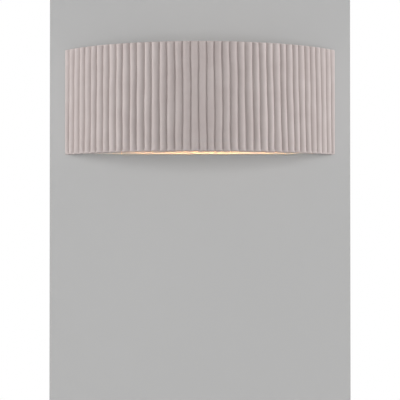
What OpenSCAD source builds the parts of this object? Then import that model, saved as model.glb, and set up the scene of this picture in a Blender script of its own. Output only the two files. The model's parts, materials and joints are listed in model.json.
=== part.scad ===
// Wall light with a bow-fronted, pleated ceramic shade.
// Millimetres. The origin is midway between the two wall screws, on the wall.
// +X is to the right, +Z is up, and the room is on the -Y side.

/* [Shade] */
// Width of the shade across its two ends at the wall
shade_w = 360; // [330:5:420]
// Height of the shade
shade_h = 140; // [132:2:180]
// Depth of the shade from its ends to the crest of the middle pleat
shade_d = 95; // [90:1:110]
// Gap between the shade's ends and the wall
wall_gap = 0.5; // [0.2:0.1:1.5]
// Number of grooves between the vertical pleats
groove_count = 40; // [32:2:46]
// Depth of the grooves
groove_d = 3; // [2.4:0.1:4.2]
// Ceramic left behind the grooves
shade_wall = 5.4; // [4:0.1:6]
// Angle by which every second groove sits off its even place, in degrees
groove_stagger = 0.1; // [0:0.02:0.2]
// Angle by which the middle grooves sit to the right of even, in degrees
groove_drift = 0.9; // [0:0.1:1.2]
// Angle that narrows the middle pleats and widens those beside them, in degrees
groove_tuck = 2; // [0:0.1:3]
// Angle that widens the pleats near both ends, in degrees
groove_spread = 3.4; // [0:0.1:6]

/* [Shade lugs] */
// Height of the lugs' undersides above the light's centre
lug_z = 18; // [14:1:26]
// Thickness of the cast lugs
lug_t = 10; // [8:0.5:12]
// Distance of the lug holes from the wall
stud_y = 19.5; // [18:0.5:23]
// Distance from the lug hole to the shade's inner face, along the wall
stud_inset = 22; // [19:0.5:26]
// Distance from the lug hole to the lug's free edges
lug_margin = 13; // [11:0.5:15]
// Corner radius of the lugs
lug_corner = 4; // [2:0.5:6]
// Radius of the clearance holes in the lugs
lug_hole_r = 3.5; // [3:0.1:4]
// Gap between the lugs and the tray behind them
lug_back_gap = 2; // [1:0.5:3]

/* [Back tray] */
// Depth of the pressed tray
tray_d = 8; // [7:0.5:9]
// Thickness of the tray's steel sheet
sheet_t = 1.5; // [1.2:0.1:1.8]
// Gap between the tray's sides and the shade
tray_side_gap = 4; // [2:0.5:8]
// Distance of the tray's top and bottom edges inside the shade's rims
tray_edge_gap = 0.5; // [0.5:0.5:3]
// Outside corner radius of the tray
tray_corner = 5; // [3:0.5:8]
// Distance between the two wall screws
screw_spacing = 220; // [210:5:226]
// Half the width of the wall-screw slots
slot_r = 2.5; // [2:0.25:3]
// Length of the wall-screw slots from end to end
slot_len = 10; // [8:0.5:12]
// Outside radius of the cups around the wall screws
cup_r = 12; // [11:0.5:13]
// Radius of the rounded tabs that carry the shade
tab_r = 9; // [8:0.5:10]

/* [Studs and nuts] */
// Radius of the shade studs
stud_r = 2; // [1.5:0.25:2.5]
// Length of stud left above the nuts
stud_spare = 5; // [2:0.5:8]
// Radius of the stud heads under the tabs
stud_head_r = 3.6; // [3:0.2:4.4]
// Thickness of the stud heads
stud_head_t = 1; // [0.8:0.1:1.5]
// Radius of the rubber cushion washers
cushion_r = 8; // [7:0.5:8.5]
// Thickness of the rubber cushion washers
cushion_t = 2; // [1:0.25:3]
// Radius of the flat washers under the nuts
washer_r = 6; // [5.5:0.25:7.5]
// Thickness of the flat washers
washer_t = 1; // [0.8:0.1:1.5]
// Radius of the knurled heads of the thumb nuts
nut_r = 6.5; // [5.5:0.25:8]
// Height of the thumb nuts
nut_h = 8; // [6:0.5:10]
// Height of the plain collar under each knurled head
nut_collar_h = 2; // [1:0.5:3]
// Radius of the plain collar under each knurled head
nut_collar_r = 5; // [4:0.25:5.5]
// Number of knurls around a thumb nut
knurl_count = 24; // [16:2:32]
// Depth of the knurls
knurl_d = 0.4; // [0.2:0.1:0.6]

/* [Lampholder] */
// Distance from the tray to the back of the lamp's globe
globe_back_gap = 5; // [4:0.5:7]
// Distance of the bracket's lamp side to the left of centre
bracket_x = 92; // [88:1:96]
// Half the width of the bracket
bracket_half_w = 15; // [13:0.5:17]
// Length of the bracket's foot on the tray
foot_len = 26; // [22:1:30]
// Distance of the rivets from the bracket's bend
rivet_x = 14; // [10:1:18]
// Distance of each rivet above or below the middle
rivet_z = 9; // [7:0.5:11]
// Radius of the rivet stems
rivet_r = 1.6; // [1.2:0.1:2]
// Radius of the rivet heads
rivet_head_r = 3; // [2.5:0.1:3.5]
// Height of the rivet heads and tails
rivet_head_t = 1.2; // [0.8:0.1:1.5]
// Outside radius of the hollow nipple
nipple_r = 5; // [4.5:0.25:6]
// Bore radius of the hollow nipple
nipple_bore_r = 3.9; // [3.6:0.1:4.2]
// Length of the nipple on the bracket's outer side, past the bracket
nipple_out = 10.5; // [9:0.5:12]
// Length of the nipple inside the lampholder cap
nipple_in = 7; // [5:0.5:9]
// Thickness of the toothed lock washer
lock_t = 0.8; // [0.6:0.1:1.2]
// Outside radius of the toothed lock washer
lock_r = 8.5; // [7.5:0.25:9.5]
// Thickness of the nipple nut
hex_t = 4; // [3:0.5:5]
// Width across the flats of the nipple nut
hex_af = 14; // [13:0.5:16]
// Outside radius of the lampholder
holder_r = 19.5; // [18.5:0.25:21]
// Length of the lampholder cap
cap_len = 26; // [24:0.5:28]
// Wall of the lampholder cap
cap_wall = 2.2; // [1.8:0.1:2.6]
// Length of the skirt past the cap
skirt_len = 31; // [28:0.5:34]
// Bore radius of the skirt
skirt_bore_r = 14.6; // [14.4:0.1:15]
// Length of the skirt's spigot inside the cap
spigot_len = 4; // [3:0.5:5]
// Thickness of the insert's flange
insert_flange_t = 4; // [3:0.5:5]
// Length of the insert in front of its flange
insert_nose = 8.5; // [7:0.5:10]
// Bore radius of the lampholder's thread shell
shell_bore_r = 13.35; // [13.3:0.05:13.6]
// Thickness of the thread shell's metal
shell_t = 0.5; // [0.4:0.1:0.6]
// Length of the thread shell
shell_len = 21; // [18:1:23]
// Distance of the contact screws from the holder's axis
contact_screw_y = 10; // [9.5:0.25:11]
// Distance of the wire holes from the holder's axis
wire_hole_z = 5.5; // [5:0.25:6]

/* [Lamp] */
// Radius of the lamp's globe
globe_r = 30; // [27:0.5:31]
// Wall of the globe
globe_wall = 1.5; // [1:0.1:2]
// Length of the lamp from its contact to the top of its globe
lamp_len = 110; // [106:1:114]
// Distance from the lamp's contact to the rim of its globe
globe_rim = 62; // [58:1:65]
// Radius of the lamp's screw cap
screw_cap_r = 13; // [12.8:0.05:13]
// Distance from the lamp's contact to the end of its screw cap
screw_cap_end = 26; // [24:0.5:27]
// Metal thickness of the screw cap
screw_cap_t = 0.4; // [0.3:0.05:0.5]
// Radius of the lamp's centre contact
tip_r = 4.5; // [4:0.25:5]
// Height of the lamp's centre contact
tip_t = 1; // [0.8:0.1:1.5]
// Height of the insulator between contact and screw cap
insulator_t = 2.2; // [1.8:0.1:2.8]
// Wall of the lamp's collar
collar_wall = 1.8; // [1.4:0.1:2.2]
// Thickness of the board that carries the light chips
led_board_t = 1.6; // [1:0.1:2]
// Number of light chips
chip_count = 10; // [6:1:14]
// Side of a light chip
chip_size = 3; // [2:0.25:3.5]
// Distance of the light chips from the lamp's axis
chip_ring_r = 14; // [12:0.5:16]
// Length of the driver board
driver_len = 36; // [30:1:40]
// Thickness of the driver board
driver_t = 1.6; // [1:0.1:2]

/* [Wiring] */
// Distance of the terminal block's middle to the left of centre
block_x = 22; // [18:1:26]
// Height of the terminal block's middle pole
block_z = 50; // [48:0.5:51]
// Distance between the poles of the terminal block
pole_pitch = 10; // [9:0.25:10.5]
// Length of the terminal block along its barrels
block_len = 20; // [18:0.5:24]
// Depth of the terminal block away from the tray
block_d = 14; // [13:0.5:16]
// Width of each pole's housing
pole_w = 7.6; // [7.2:0.1:8]
// Depth of the web between the poles
web_d = 5; // [4:0.5:6]
// Outside radius of the terminal barrels
barrel_r = 2.6; // [2.4:0.1:2.8]
// Bore radius of the terminal barrels
barrel_bore_r = 1.6; // [1.4:0.1:1.7]
// Length of the terminal barrels
barrel_len = 15; // [13:0.5:16]
// Radius of the terminal screws
terminal_screw_r = 1.3; // [1.1:0.1:1.5]
// Distance of the terminal screws from the barrel's middle
terminal_screw_x = 4.5; // [4:0.25:5]
// Radius of the two screws that hold the block
block_screw_r = 1; // [0.8:0.1:1.1]
// Distance of the earth screw to the left of centre
earth_x = 60; // [57:1:63]
// Radius of the earth screw
earth_screw_r = 2; // [1.5:0.25:2.5]
// Radius of the earth tag's ring
earth_tag_r = 4.5; // [4:0.25:5]
// Thickness of the earth tag
earth_tag_t = 0.8; // [0.6:0.1:1]
// Radius of the insulated wires
wire_r = 1.1; // [0.9:0.05:1.2]
// Distance of the cable inlet to the right of centre
inlet_x = 22; // [18:1:26]
// Bore radius of the cable grommet
inlet_r = 4.5; // [3.5:0.25:5]
// Radius of the tray's hole for the grommet
grommet_hole_r = 8; // [7:0.25:9]
// Width of the grommet's lips beyond the hole
grommet_lip = 2; // [1.5:0.25:3]
// Thickness of each lip of the grommet
grommet_lip_t = 2; // [1.5:0.25:2.5]

/* [Hidden] */
$fn = 64;
cut = 1;            // overshoot of every cut past a face
fit = 0.05;         // radial clearance of fixed round fits
turn_fit = 0.05;    // radial clearance of a nut on its stud
loose_fit = 0.35;   // radial clearance of a washer that lifts off its stud
weld = 0.6;         // overlap of the lugs with the shade's wall

// Radius of the arc through the pleats' crests, from its chord and its depth
crest_r = (pow(shade_w / 2, 2) + pow(shade_d, 2)) / (2 * shade_d);
arc_y = crest_r - shade_d - wall_gap;
half_angle = acos((crest_r - shade_d) / crest_r);
groove_r = crest_r - groove_d;
inner_r = groove_r - shade_wall;
shade_bottom = -shade_h / 2;

// Distance from the middle to the shade's inner face at a distance y from the wall
function inner_x(y) = sqrt(pow(inner_r, 2) - pow(arc_y + y, 2));

// Place of groove k, counted from the left, as an angle from the middle of the arc.
// An even row is drifted, tucked and spread, and then staggered.
function groove_t(k) = (2 * k - groove_count - 1) / groove_count;
function groove_off(t) = (groove_drift - groove_tuck * t - groove_spread * pow(t, 3)) * (1 - t * t);
function groove_line(k) = let (t = groove_t(k))
    half_angle * t + groove_off(t) - groove_stagger * (k % 2 == 0 ? 1 : -1) * sin(180 * abs(t));

// Edges of the pleats. The end pleats are cut at their crests, so their outer edges mirror the inner ones.
function groove_angle(k) = k < 1 ? -2 * half_angle - groove_line(1)
    : k > groove_count ? 2 * half_angle - groove_line(groove_count)
    : groove_line(k);

stud_x = inner_x(stud_y) - stud_inset;
tab_top = lug_z - cushion_t;
stud_top = lug_z + lug_t + washer_t + nut_h + stud_spare;
nut_z = lug_z + lug_t + washer_t;

tray_w = 2 * (inner_x(tray_d) - tray_side_gap);
tray_h = shade_h - 2 * tray_edge_gap;

// Lampholder: x runs along the holder's axis from the bracket's lamp side
axis_y = -(tray_d + globe_back_gap + globe_r);
insert_z = cap_len - spigot_len - insert_flange_t;
cap_in_r = holder_r - cap_wall;
insert_r = cap_in_r - 2 * fit - 2;
insert_end = insert_z + insert_flange_t + insert_nose;
shell_r = shell_bore_r + shell_t;
plunger_r = 4;
plunger_t = 1.4;
plunger_stem_r = 1.8;
plunger_rise = 1.5;
plunger_gap = 0.1;
lamp_z = insert_end + shell_t + plunger_rise + plunger_t + plunger_gap;
contact_screw_r = 1.5;
contact_screw_len = 6;
globe_z = lamp_len - globe_r;
rim_r = sqrt(pow(globe_r, 2) - pow(globe_z - globe_rim, 2));
rim_in_r = sqrt(pow(globe_r - globe_wall, 2) - pow(globe_z - globe_rim, 2));
thread_crest = 0.7;
cap_bore_r = screw_cap_r - screw_cap_t - thread_crest;
collar_spigot_r = cap_bore_r - fit;
collar_bore_r = collar_spigot_r - collar_wall;
board_seat_r = rim_in_r + 0.2;

// Wiring
barrel_y = -(tray_d + 0.5 * block_d);
entry_r = barrel_bore_r + 0.2;
tag_neck = 9;
tag_sleeve_r = wire_r + 0.7;
tag_sleeve_len = 5;
screw_slot_w = 0.7;

module rounded_rect(w, h, r) {
    square([w - 2 * r, h], center = true);
    square([w, h - 2 * r], center = true);
    for (x = [-1, 1], z = [-1, 1])
        translate([x * (w / 2 - r), z * (h / 2 - r)]) circle(r);
}

module ring(r, bore, h) {
    difference() {
        cylinder(r = r, h = h);
        translate([0, 0, -cut]) cylinder(r = bore, h = h + 2 * cut);
    }
}

// Extrudes an outline drawn in X and Z from distance y0 off the wall to distance y1
module off_wall(y0, y1) {
    translate([0, -y0, 0]) rotate([90, 0, 0]) linear_extrude(y1 - y0) children();
}

// Puts a shape built along +Z onto the tray: its foot at x, z and at distance y off the wall
module on_tray(x, y, z) {
    translate([x, -y, z]) rotate([90, 0, 0]) children();
}

// Puts a shape built along +Z onto the lampholder's axis
module on_axis() {
    translate([-bracket_x, axis_y, 0]) rotate([0, 90, 0]) children();
}

// Puts a shape on both shade studs
module at_studs(z) {
    for (side = [-1, 1]) translate([side * stud_x, -stud_y, z]) children();
}

// Screw with a slotted cheese head, its point towards -Z and its head's foot at 0
module slotted_screw(r, length, head_r, head_t) {
    difference() {
        union() {
            translate([0, 0, -length]) cylinder(r = r, h = length);
            cylinder(r = head_r, h = head_t);
        }
        translate([-head_r - cut, -screw_slot_w / 2, head_t / 2])
            cube([2 * (head_r + cut), screw_slot_w, head_t]);
    }
}

// Shade

module pleat_outline() {
    for (k = [0 : groove_count]) {
        a0 = groove_angle(k);
        a1 = groove_angle(k + 1);
        half_chord = groove_r * sin((a1 - a0) / 2);
        rise = crest_r - groove_r * cos((a1 - a0) / 2);
        r = (pow(half_chord, 2) + pow(rise, 2)) / (2 * rise);
        rotate((a0 + a1) / 2) translate([0, -(crest_r - r)]) circle(r);
    }
    circle(groove_r - 0.3, $fn = 256);
}

module shade_outline() {
    difference() {
        translate([0, arc_y]) pleat_outline();
        translate([0, arc_y]) circle(inner_r, $fn = 256);
        translate([-shade_w, -wall_gap]) square([2 * shade_w, 2 * crest_r]);
    }
}

// Ledge cast into one end of the shade, with its free corners rounded
module lug_outline() {
    back = -(tray_d + lug_back_gap);
    front = -(stud_y + lug_margin);
    edge = stud_x - lug_margin;
    intersection() {
        union() {
            translate([edge + lug_corner, front]) square([shade_w, back - front]);
            translate([edge, front + lug_corner]) square([shade_w, back - front - 2 * lug_corner]);
            translate([edge + lug_corner, front + lug_corner]) circle(lug_corner);
            translate([edge + lug_corner, back - lug_corner]) circle(lug_corner);
        }
        translate([0, arc_y]) circle(inner_r + weld, $fn = 256);
    }
}

module ceramic_shade() {
    color([0.79, 0.75, 0.74]) difference() {
        union() {
            translate([0, 0, shade_bottom]) linear_extrude(shade_h) shade_outline();
            for (side = [0, 1]) mirror([side, 0, 0])
                translate([0, 0, lug_z]) linear_extrude(lug_t) lug_outline();
        }
        at_studs(lug_z - cut) cylinder(r = lug_hole_r, h = lug_t + 2 * cut);
    }
}

module shade_washers() {
    color([0.75, 0.75, 0.76]) at_studs(lug_z + lug_t) ring(washer_r, stud_r + loose_fit, washer_t);
}

module thumb_nut() {
    knurls = [for (i = [0 : 2 * knurl_count - 1])
        let (r = nut_r - (i % 2 == 0 ? 0 : knurl_d), a = 180 * i / knurl_count)
        [r * cos(a), r * sin(a)]];
    difference() {
        union() {
            cylinder(r = nut_collar_r, h = nut_collar_h);
            translate([0, 0, nut_collar_h]) linear_extrude(nut_h - nut_collar_h) polygon(knurls);
        }
        translate([0, 0, -cut]) cylinder(r = stud_r + turn_fit, h = nut_h + 2 * cut);
    }
}

module thumb_nut_left() {
    color([0.8, 0.8, 0.8]) translate([-stud_x, -stud_y, nut_z]) thumb_nut();
}

module thumb_nut_right() {
    color([0.8, 0.8, 0.8]) translate([stud_x, -stud_y, nut_z]) thumb_nut();
}

// Back tray and what is fixed to it

module slot_outline() {
    square([slot_len - 2 * slot_r, 2 * slot_r], center = true);
    for (side = [-1, 1]) translate([side * (slot_len / 2 - slot_r), 0]) circle(slot_r);
}

module tab() {
    difference() {
        union() {
            translate([-tab_r, -stud_y]) square([2 * tab_r, stud_y - tray_d + sheet_t]);
            translate([0, -stud_y]) circle(tab_r);
        }
        translate([0, -stud_y]) circle(stud_r + fit);
    }
}

module back_tray() {
    window_h = stud_y + tab_r - tray_d;
    color([0.93, 0.93, 0.92]) difference() {
        union() {
            difference() {
                off_wall(0, tray_d) rounded_rect(tray_w, tray_h, tray_corner);
                off_wall(-cut, tray_d - sheet_t)
                    rounded_rect(tray_w - 2 * sheet_t, tray_h - 2 * sheet_t, tray_corner - sheet_t);
                for (side = [-1, 1])
                    translate([side * stud_x, 0, tab_top + window_h / 2]) off_wall(0, tray_d + cut)
                        square([2 * tab_r, window_h], center = true);
            }
            for (side = [-1, 1]) {
                translate([side * screw_spacing / 2, 0, 0]) off_wall(0, tray_d) circle(cup_r);
                translate([side * stud_x, 0, tab_top - sheet_t]) linear_extrude(sheet_t) tab();
            }
        }
        for (side = [-1, 1]) translate([side * screw_spacing / 2, 0, 0]) {
            off_wall(sheet_t, tray_d + cut) circle(cup_r - sheet_t);
            off_wall(-cut, sheet_t + cut) slot_outline();
        }
        on_tray(inlet_x, 0, block_z) cylinder(r = grommet_hole_r, h = tray_d + cut);
        for (side = [-1, 1])
            on_tray(rivet_x - bracket_x, 0, side * rivet_z)
                cylinder(r = rivet_r + fit, h = tray_d + cut);
        for (side = [-0.5, 0.5])
            on_tray(-block_x, 0, block_z + side * pole_pitch)
                cylinder(r = block_screw_r + fit, h = tray_d + cut);
        on_tray(-earth_x, 0, block_z) cylinder(r = earth_screw_r + fit, h = tray_d + cut);
    }
}

module shade_studs() {
    color([0.75, 0.75, 0.76]) at_studs(tab_top - sheet_t) {
        cylinder(r = stud_r, h = stud_top - tab_top + sheet_t);
        translate([0, 0, -stud_head_t]) cylinder(r = stud_head_r, h = stud_head_t);
    }
}

module cushion_washers() {
    color([0.85, 0.85, 0.83]) at_studs(tab_top) ring(cushion_r, stud_r + fit, cushion_t);
}

module cable_grommet() {
    lip_r = grommet_hole_r + grommet_lip;
    waist = sheet_t + 2 * fit;
    length = waist + 2 * grommet_lip_t;
    color([0.2, 0.2, 0.2]) on_tray(inlet_x, tray_d - sheet_t - fit - grommet_lip_t, block_z)
        difference() {
            union() {
                cylinder(r = lip_r, h = grommet_lip_t);
                cylinder(r = grommet_hole_r - fit, h = length);
                translate([0, 0, grommet_lip_t + waist]) cylinder(r = lip_r, h = grommet_lip_t);
            }
            translate([0, 0, -cut]) cylinder(r = inlet_r, h = length + 2 * cut);
        }
}

module holder_bracket() {
    leg = -axis_y - tray_d;
    color([0.8, 0.8, 0.8]) difference() {
        union() {
            translate([-bracket_x - sheet_t, axis_y, -bracket_half_w])
                cube([sheet_t, leg, 2 * bracket_half_w]);
            on_axis() translate([0, 0, -sheet_t]) cylinder(r = bracket_half_w, h = sheet_t);
            translate([-bracket_x - sheet_t, -tray_d - sheet_t, -bracket_half_w])
                cube([foot_len, sheet_t, 2 * bracket_half_w]);
        }
        on_axis() translate([0, 0, -sheet_t - cut]) cylinder(r = nipple_r + fit, h = sheet_t + 2 * cut);
        for (side = [-1, 1])
            on_tray(rivet_x - bracket_x, tray_d - cut, side * rivet_z)
                cylinder(r = rivet_r + fit, h = sheet_t + 2 * cut);
    }
}

module bracket_rivets() {
    color([0.75, 0.75, 0.76]) for (side = [-1, 1])
        on_tray(rivet_x - bracket_x, tray_d - sheet_t, side * rivet_z) {
            translate([0, 0, -rivet_head_t]) cylinder(r = rivet_head_r, h = rivet_head_t);
            cylinder(r = rivet_r, h = 2 * sheet_t);
            translate([0, 0, 2 * sheet_t]) cylinder(r = rivet_head_r, h = rivet_head_t);
        }
}

// Lampholder

module holder_nipple() {
    color([0.8, 0.7, 0.45]) on_axis() translate([0, 0, -sheet_t - nipple_out])
        ring(nipple_r, nipple_bore_r, nipple_out + sheet_t + nipple_in);
}

module lock_washer() {
    teeth = 12;
    color([0.75, 0.75, 0.76]) on_axis() translate([0, 0, -sheet_t - lock_t]) difference() {
        cylinder(r = lock_r, h = lock_t);
        translate([0, 0, -cut]) cylinder(r = nipple_r + fit, h = lock_t + 2 * cut);
        for (i = [0 : teeth - 1]) rotate(i * 360 / teeth)
            translate([lock_r, 0, -cut]) cylinder(r = lock_r / teeth, h = lock_t + 2 * cut);
    }
}

module nipple_nut() {
    color([0.8, 0.7, 0.45]) on_axis() translate([0, 0, -sheet_t - lock_t - hex_t]) difference() {
        cylinder(r = hex_af / 2 / cos(30), h = hex_t, $fn = 6);
        translate([0, 0, -cut]) cylinder(r = nipple_r + fit, h = hex_t + 2 * cut);
    }
}

module lampholder_cap() {
    thread_r = nipple_r + fit;
    ledge_r = cap_in_r - 2;
    dome = insert_z - 3;
    color([0.9, 0.9, 0.89]) on_axis() rotate_extrude() polygon([
        [thread_r, 0], [thread_r + 4, 0], [thread_r + 5, 2.5], [holder_r - 1.5, dome - 3.5],
        [holder_r, dome], [holder_r, cap_len], [cap_in_r, cap_len], [cap_in_r, insert_z],
        [ledge_r, insert_z], [ledge_r, dome], [thread_r + 3, nipple_in], [thread_r, nipple_in]
    ]);
}

module lampholder_insert() {
    flange_r = cap_in_r - fit;
    color([0.94, 0.92, 0.88]) on_axis() difference() {
        union() {
            translate([0, 0, insert_z]) cylinder(r = flange_r, h = insert_flange_t);
            translate([0, 0, insert_z]) cylinder(r = insert_r, h = insert_end - insert_z);
        }
        translate([0, 0, insert_end - 4]) cylinder(r = plunger_stem_r + fit, h = 4 + cut);
        for (side = [-1, 1]) {
            translate([side * wire_hole_z, 0, insert_z - cut])
                cylinder(r = wire_r + 0.3, h = 5 + cut);
            translate([0, side * contact_screw_y, insert_z - cut])
                cylinder(r = contact_screw_r + fit, h = contact_screw_len + 2 * cut);
        }
    }
}

module lampholder_skirt() {
    spigot_r = cap_in_r - fit;
    spigot_z = cap_len - spigot_len;
    rim_z = cap_len + skirt_len;
    nose_r = insert_r + fit;
    lip = 1.2;
    color([0.9, 0.9, 0.89]) on_axis() rotate_extrude() polygon([
        [nose_r, spigot_z], [spigot_r, spigot_z], [spigot_r, cap_len], [holder_r, cap_len],
        [holder_r, cap_len + 6], [holder_r - 1, cap_len + 7], [holder_r - 1, rim_z - 3 * lip],
        [holder_r - 0.2, rim_z - 2 * lip], [holder_r - 0.2, rim_z - lip / 2], [holder_r - 1, rim_z],
        [skirt_bore_r + 1, rim_z], [skirt_bore_r, rim_z - 1], [skirt_bore_r, insert_end],
        [nose_r, insert_end]
    ]);
}

module thread_shell() {
    bead_r = shell_r + 0.4;
    end_z = insert_end + shell_len;
    color([0.82, 0.8, 0.74]) on_axis() rotate_extrude() polygon([
        [plunger_r + 1, insert_end], [shell_r, insert_end], [shell_r, end_z - 1.5],
        [bead_r, end_z - 1], [bead_r, end_z], [bead_r - shell_t, end_z],
        [shell_bore_r, end_z - 1.5], [shell_bore_r, insert_end + shell_t],
        [plunger_r + 1, insert_end + shell_t]
    ]);
}

// Sprung plunger with a flat head, its stem in the insert
module centre_contact() {
    head_z = lamp_z - plunger_gap - plunger_t;
    sunk = 3;
    color([0.8, 0.65, 0.3]) on_axis() {
        translate([0, 0, insert_end - sunk])
            cylinder(r = plunger_stem_r, h = head_z - insert_end + sunk);
        translate([0, 0, head_z]) cylinder(r = plunger_r, h = plunger_t);
        translate([0, 0, insert_end]) cylinder(r = plunger_stem_r + 1, h = 0.8);
    }
}

module contact_screws() {
    color([0.8, 0.7, 0.45]) on_axis() for (side = [-1, 1])
        translate([0, side * contact_screw_y, insert_z]) rotate([180, 0, 0])
            slotted_screw(contact_screw_r, contact_screw_len, contact_screw_r + 1.1, 1.6);
}

// Lamp, built along +Z from its contact

module at_lamp() {
    on_axis() translate([0, 0, lamp_z]) children();
}

module lamp_contact() {
    color([0.75, 0.74, 0.7]) at_lamp() cylinder(r = tip_r, h = tip_t);
}

module lamp_insulator() {
    wide = screw_cap_r - 3;
    color([0.15, 0.15, 0.17]) at_lamp() translate([0, 0, tip_t])
        cylinder(r1 = tip_r + 1, r2 = wide, h = insulator_t);
}

module lamp_cap() {
    base = tip_t + insulator_t;
    shoulder = 2;
    pitch = 3.6;
    root_r = screw_cap_r - thread_crest;
    base_r = screw_cap_r - 3;
    turns = floor((screw_cap_end - base - shoulder - 2) / pitch);
    color([0.8, 0.8, 0.78]) at_lamp() difference() {
        union() {
            translate([0, 0, base]) cylinder(r1 = base_r, r2 = root_r, h = shoulder);
            translate([0, 0, base + shoulder])
                cylinder(r = root_r, h = screw_cap_end - base - shoulder);
            for (i = [0 : turns - 1])
                translate([0, 0, base + shoulder + pitch * (i + 0.5)]) {
                    cylinder(r1 = root_r, r2 = screw_cap_r, h = pitch / 3);
                    translate([0, 0, pitch / 3])
                        cylinder(r1 = screw_cap_r, r2 = root_r, h = pitch / 3);
                }
            translate([0, 0, screw_cap_end - 1]) cylinder(r = screw_cap_r, h = 1);
        }
        translate([0, 0, base + screw_cap_t])
            cylinder(r1 = base_r - screw_cap_t, r2 = cap_bore_r, h = shoulder);
        translate([0, 0, base + screw_cap_t + shoulder])
            cylinder(r = cap_bore_r, h = screw_cap_end - base);
    }
}

module lamp_collar() {
    spigot = 6;
    ledge = 2;
    seat_z = globe_rim - led_board_t;
    neck_z = screw_cap_end + 0.3 * (globe_rim - screw_cap_end);
    neck_r = screw_cap_r + 0.45 * (rim_r - screw_cap_r);
    color([0.92, 0.92, 0.91]) at_lamp() rotate_extrude() polygon([
        [collar_bore_r, screw_cap_end - spigot], [collar_spigot_r, screw_cap_end - spigot],
        [collar_spigot_r, screw_cap_end], [screw_cap_r + 0.5, screw_cap_end],
        [screw_cap_r + 1, screw_cap_end + 2], [neck_r, neck_z], [rim_r - 1, globe_rim - 8],
        [rim_r, globe_rim - 3], [rim_r, globe_rim],
        [board_seat_r, globe_rim], [board_seat_r, seat_z], [board_seat_r - ledge, seat_z],
        [board_seat_r - ledge, seat_z - 3 * ledge], [neck_r - collar_wall - 1, neck_z],
        [collar_bore_r, screw_cap_end + 4]
    ]);
}

module lamp_globe() {
    color([0.98, 0.93, 0.82]) at_lamp() difference() {
        translate([0, 0, globe_z]) sphere(globe_r);
        translate([0, 0, globe_z]) sphere(globe_r - globe_wall);
        translate([0, 0, globe_rim - 2 * globe_r]) cylinder(r = 2 * globe_r, h = 2 * globe_r);
    }
}

module led_board() {
    color([0.9, 0.9, 0.88]) at_lamp() translate([0, 0, globe_rim - led_board_t])
        cylinder(r = board_seat_r - fit, h = led_board_t);
}

module led_chips() {
    chip_t = 0.8;
    color([0.95, 0.85, 0.4]) at_lamp() for (i = [0 : chip_count - 1]) rotate(i * 360 / chip_count)
        translate([chip_ring_r - chip_size / 2, -chip_size / 2, globe_rim])
            cube([chip_size, chip_size, chip_t]);
}

module driver_board() {
    half_w = sqrt(pow(collar_bore_r, 2) - pow(driver_t / 2, 2)) - fit;
    back_z = screw_cap_end - 12;
    can_r = 4.2;
    choke = [8, 6, 9];
    sunk = 0.2;
    color([0.2, 0.4, 0.25]) at_lamp() {
        translate([-half_w, -driver_t / 2, back_z]) cube([2 * half_w, driver_t, driver_len]);
        translate([0, driver_t / 2 + can_r - sunk, back_z + 16]) cylinder(r = can_r, h = 14);
        translate([-choke.x / 2, sunk - driver_t / 2 - choke.y, back_z + 18]) cube(choke);
    }
}

// Terminal block, earth and wires

module terminal_block() {
    color([0.92, 0.91, 0.86]) difference() {
        union() {
            translate([-block_x - block_len / 2, -tray_d - web_d, block_z - pole_pitch])
                cube([block_len, web_d, 2 * pole_pitch]);
            for (pole = [-1 : 1])
                translate([-block_x - block_len / 2, -tray_d - block_d,
                    block_z + pole * pole_pitch - pole_w / 2]) cube([block_len, block_d, pole_w]);
        }
        for (pole = [-1 : 1]) {
            translate([-block_x - barrel_len / 2, barrel_y, block_z + pole * pole_pitch])
                rotate([0, 90, 0]) cylinder(r = barrel_r + fit, h = barrel_len);
            translate([-block_x - block_len / 2 - cut, barrel_y, block_z + pole * pole_pitch])
                rotate([0, 90, 0]) cylinder(r = entry_r, h = block_len + 2 * cut);
            for (side = [-1, 1])
                on_tray(-block_x + side * terminal_screw_x, -barrel_y, block_z + pole * pole_pitch)
                    cylinder(r = terminal_screw_r + 0.6, h = block_d);
        }
        for (side = [-0.5, 0.5])
            on_tray(-block_x, tray_d - cut, block_z + side * pole_pitch)
                cylinder(r = block_screw_r + fit, h = web_d + 2 * cut);
    }
}

module terminal_barrels() {
    color([0.8, 0.7, 0.4]) for (pole = [-1 : 1]) difference() {
        translate([-block_x - barrel_len / 2, barrel_y, block_z + pole * pole_pitch])
            rotate([0, 90, 0]) ring(barrel_r, barrel_bore_r, barrel_len);
        for (side = [-1, 1])
            on_tray(-block_x + side * terminal_screw_x, -barrel_y, block_z + pole * pole_pitch)
                cylinder(r = terminal_screw_r + fit, h = block_d);
    }
}

// The screws clamp down to just above the bared conductors
module terminal_screws() {
    bite = 0.7;
    reach = 5;
    color([0.8, 0.8, 0.78]) for (pole = [-1 : 1], side = [-1, 1])
        on_tray(-block_x + side * terminal_screw_x, -barrel_y + bite, block_z + pole * pole_pitch)
            difference() {
                cylinder(r = terminal_screw_r, h = reach);
                translate([-block_len, -screw_slot_w / 2, reach - 0.8])
                    cube([2 * block_len, screw_slot_w, 2]);
            }
}

module block_screws() {
    color([0.8, 0.8, 0.78]) for (side = [-0.5, 0.5])
        on_tray(-block_x, tray_d + web_d, block_z + side * pole_pitch)
            slotted_screw(block_screw_r, web_d + sheet_t + 1, block_screw_r + 0.15, 1);
}

module earth_screw() {
    stack = 2 * earth_tag_t;
    color([0.8, 0.7, 0.4]) on_tray(-earth_x, tray_d + stack, block_z)
        slotted_screw(earth_screw_r, stack + sheet_t + 2.5, 2 * earth_screw_r, 2.2);
}

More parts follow.
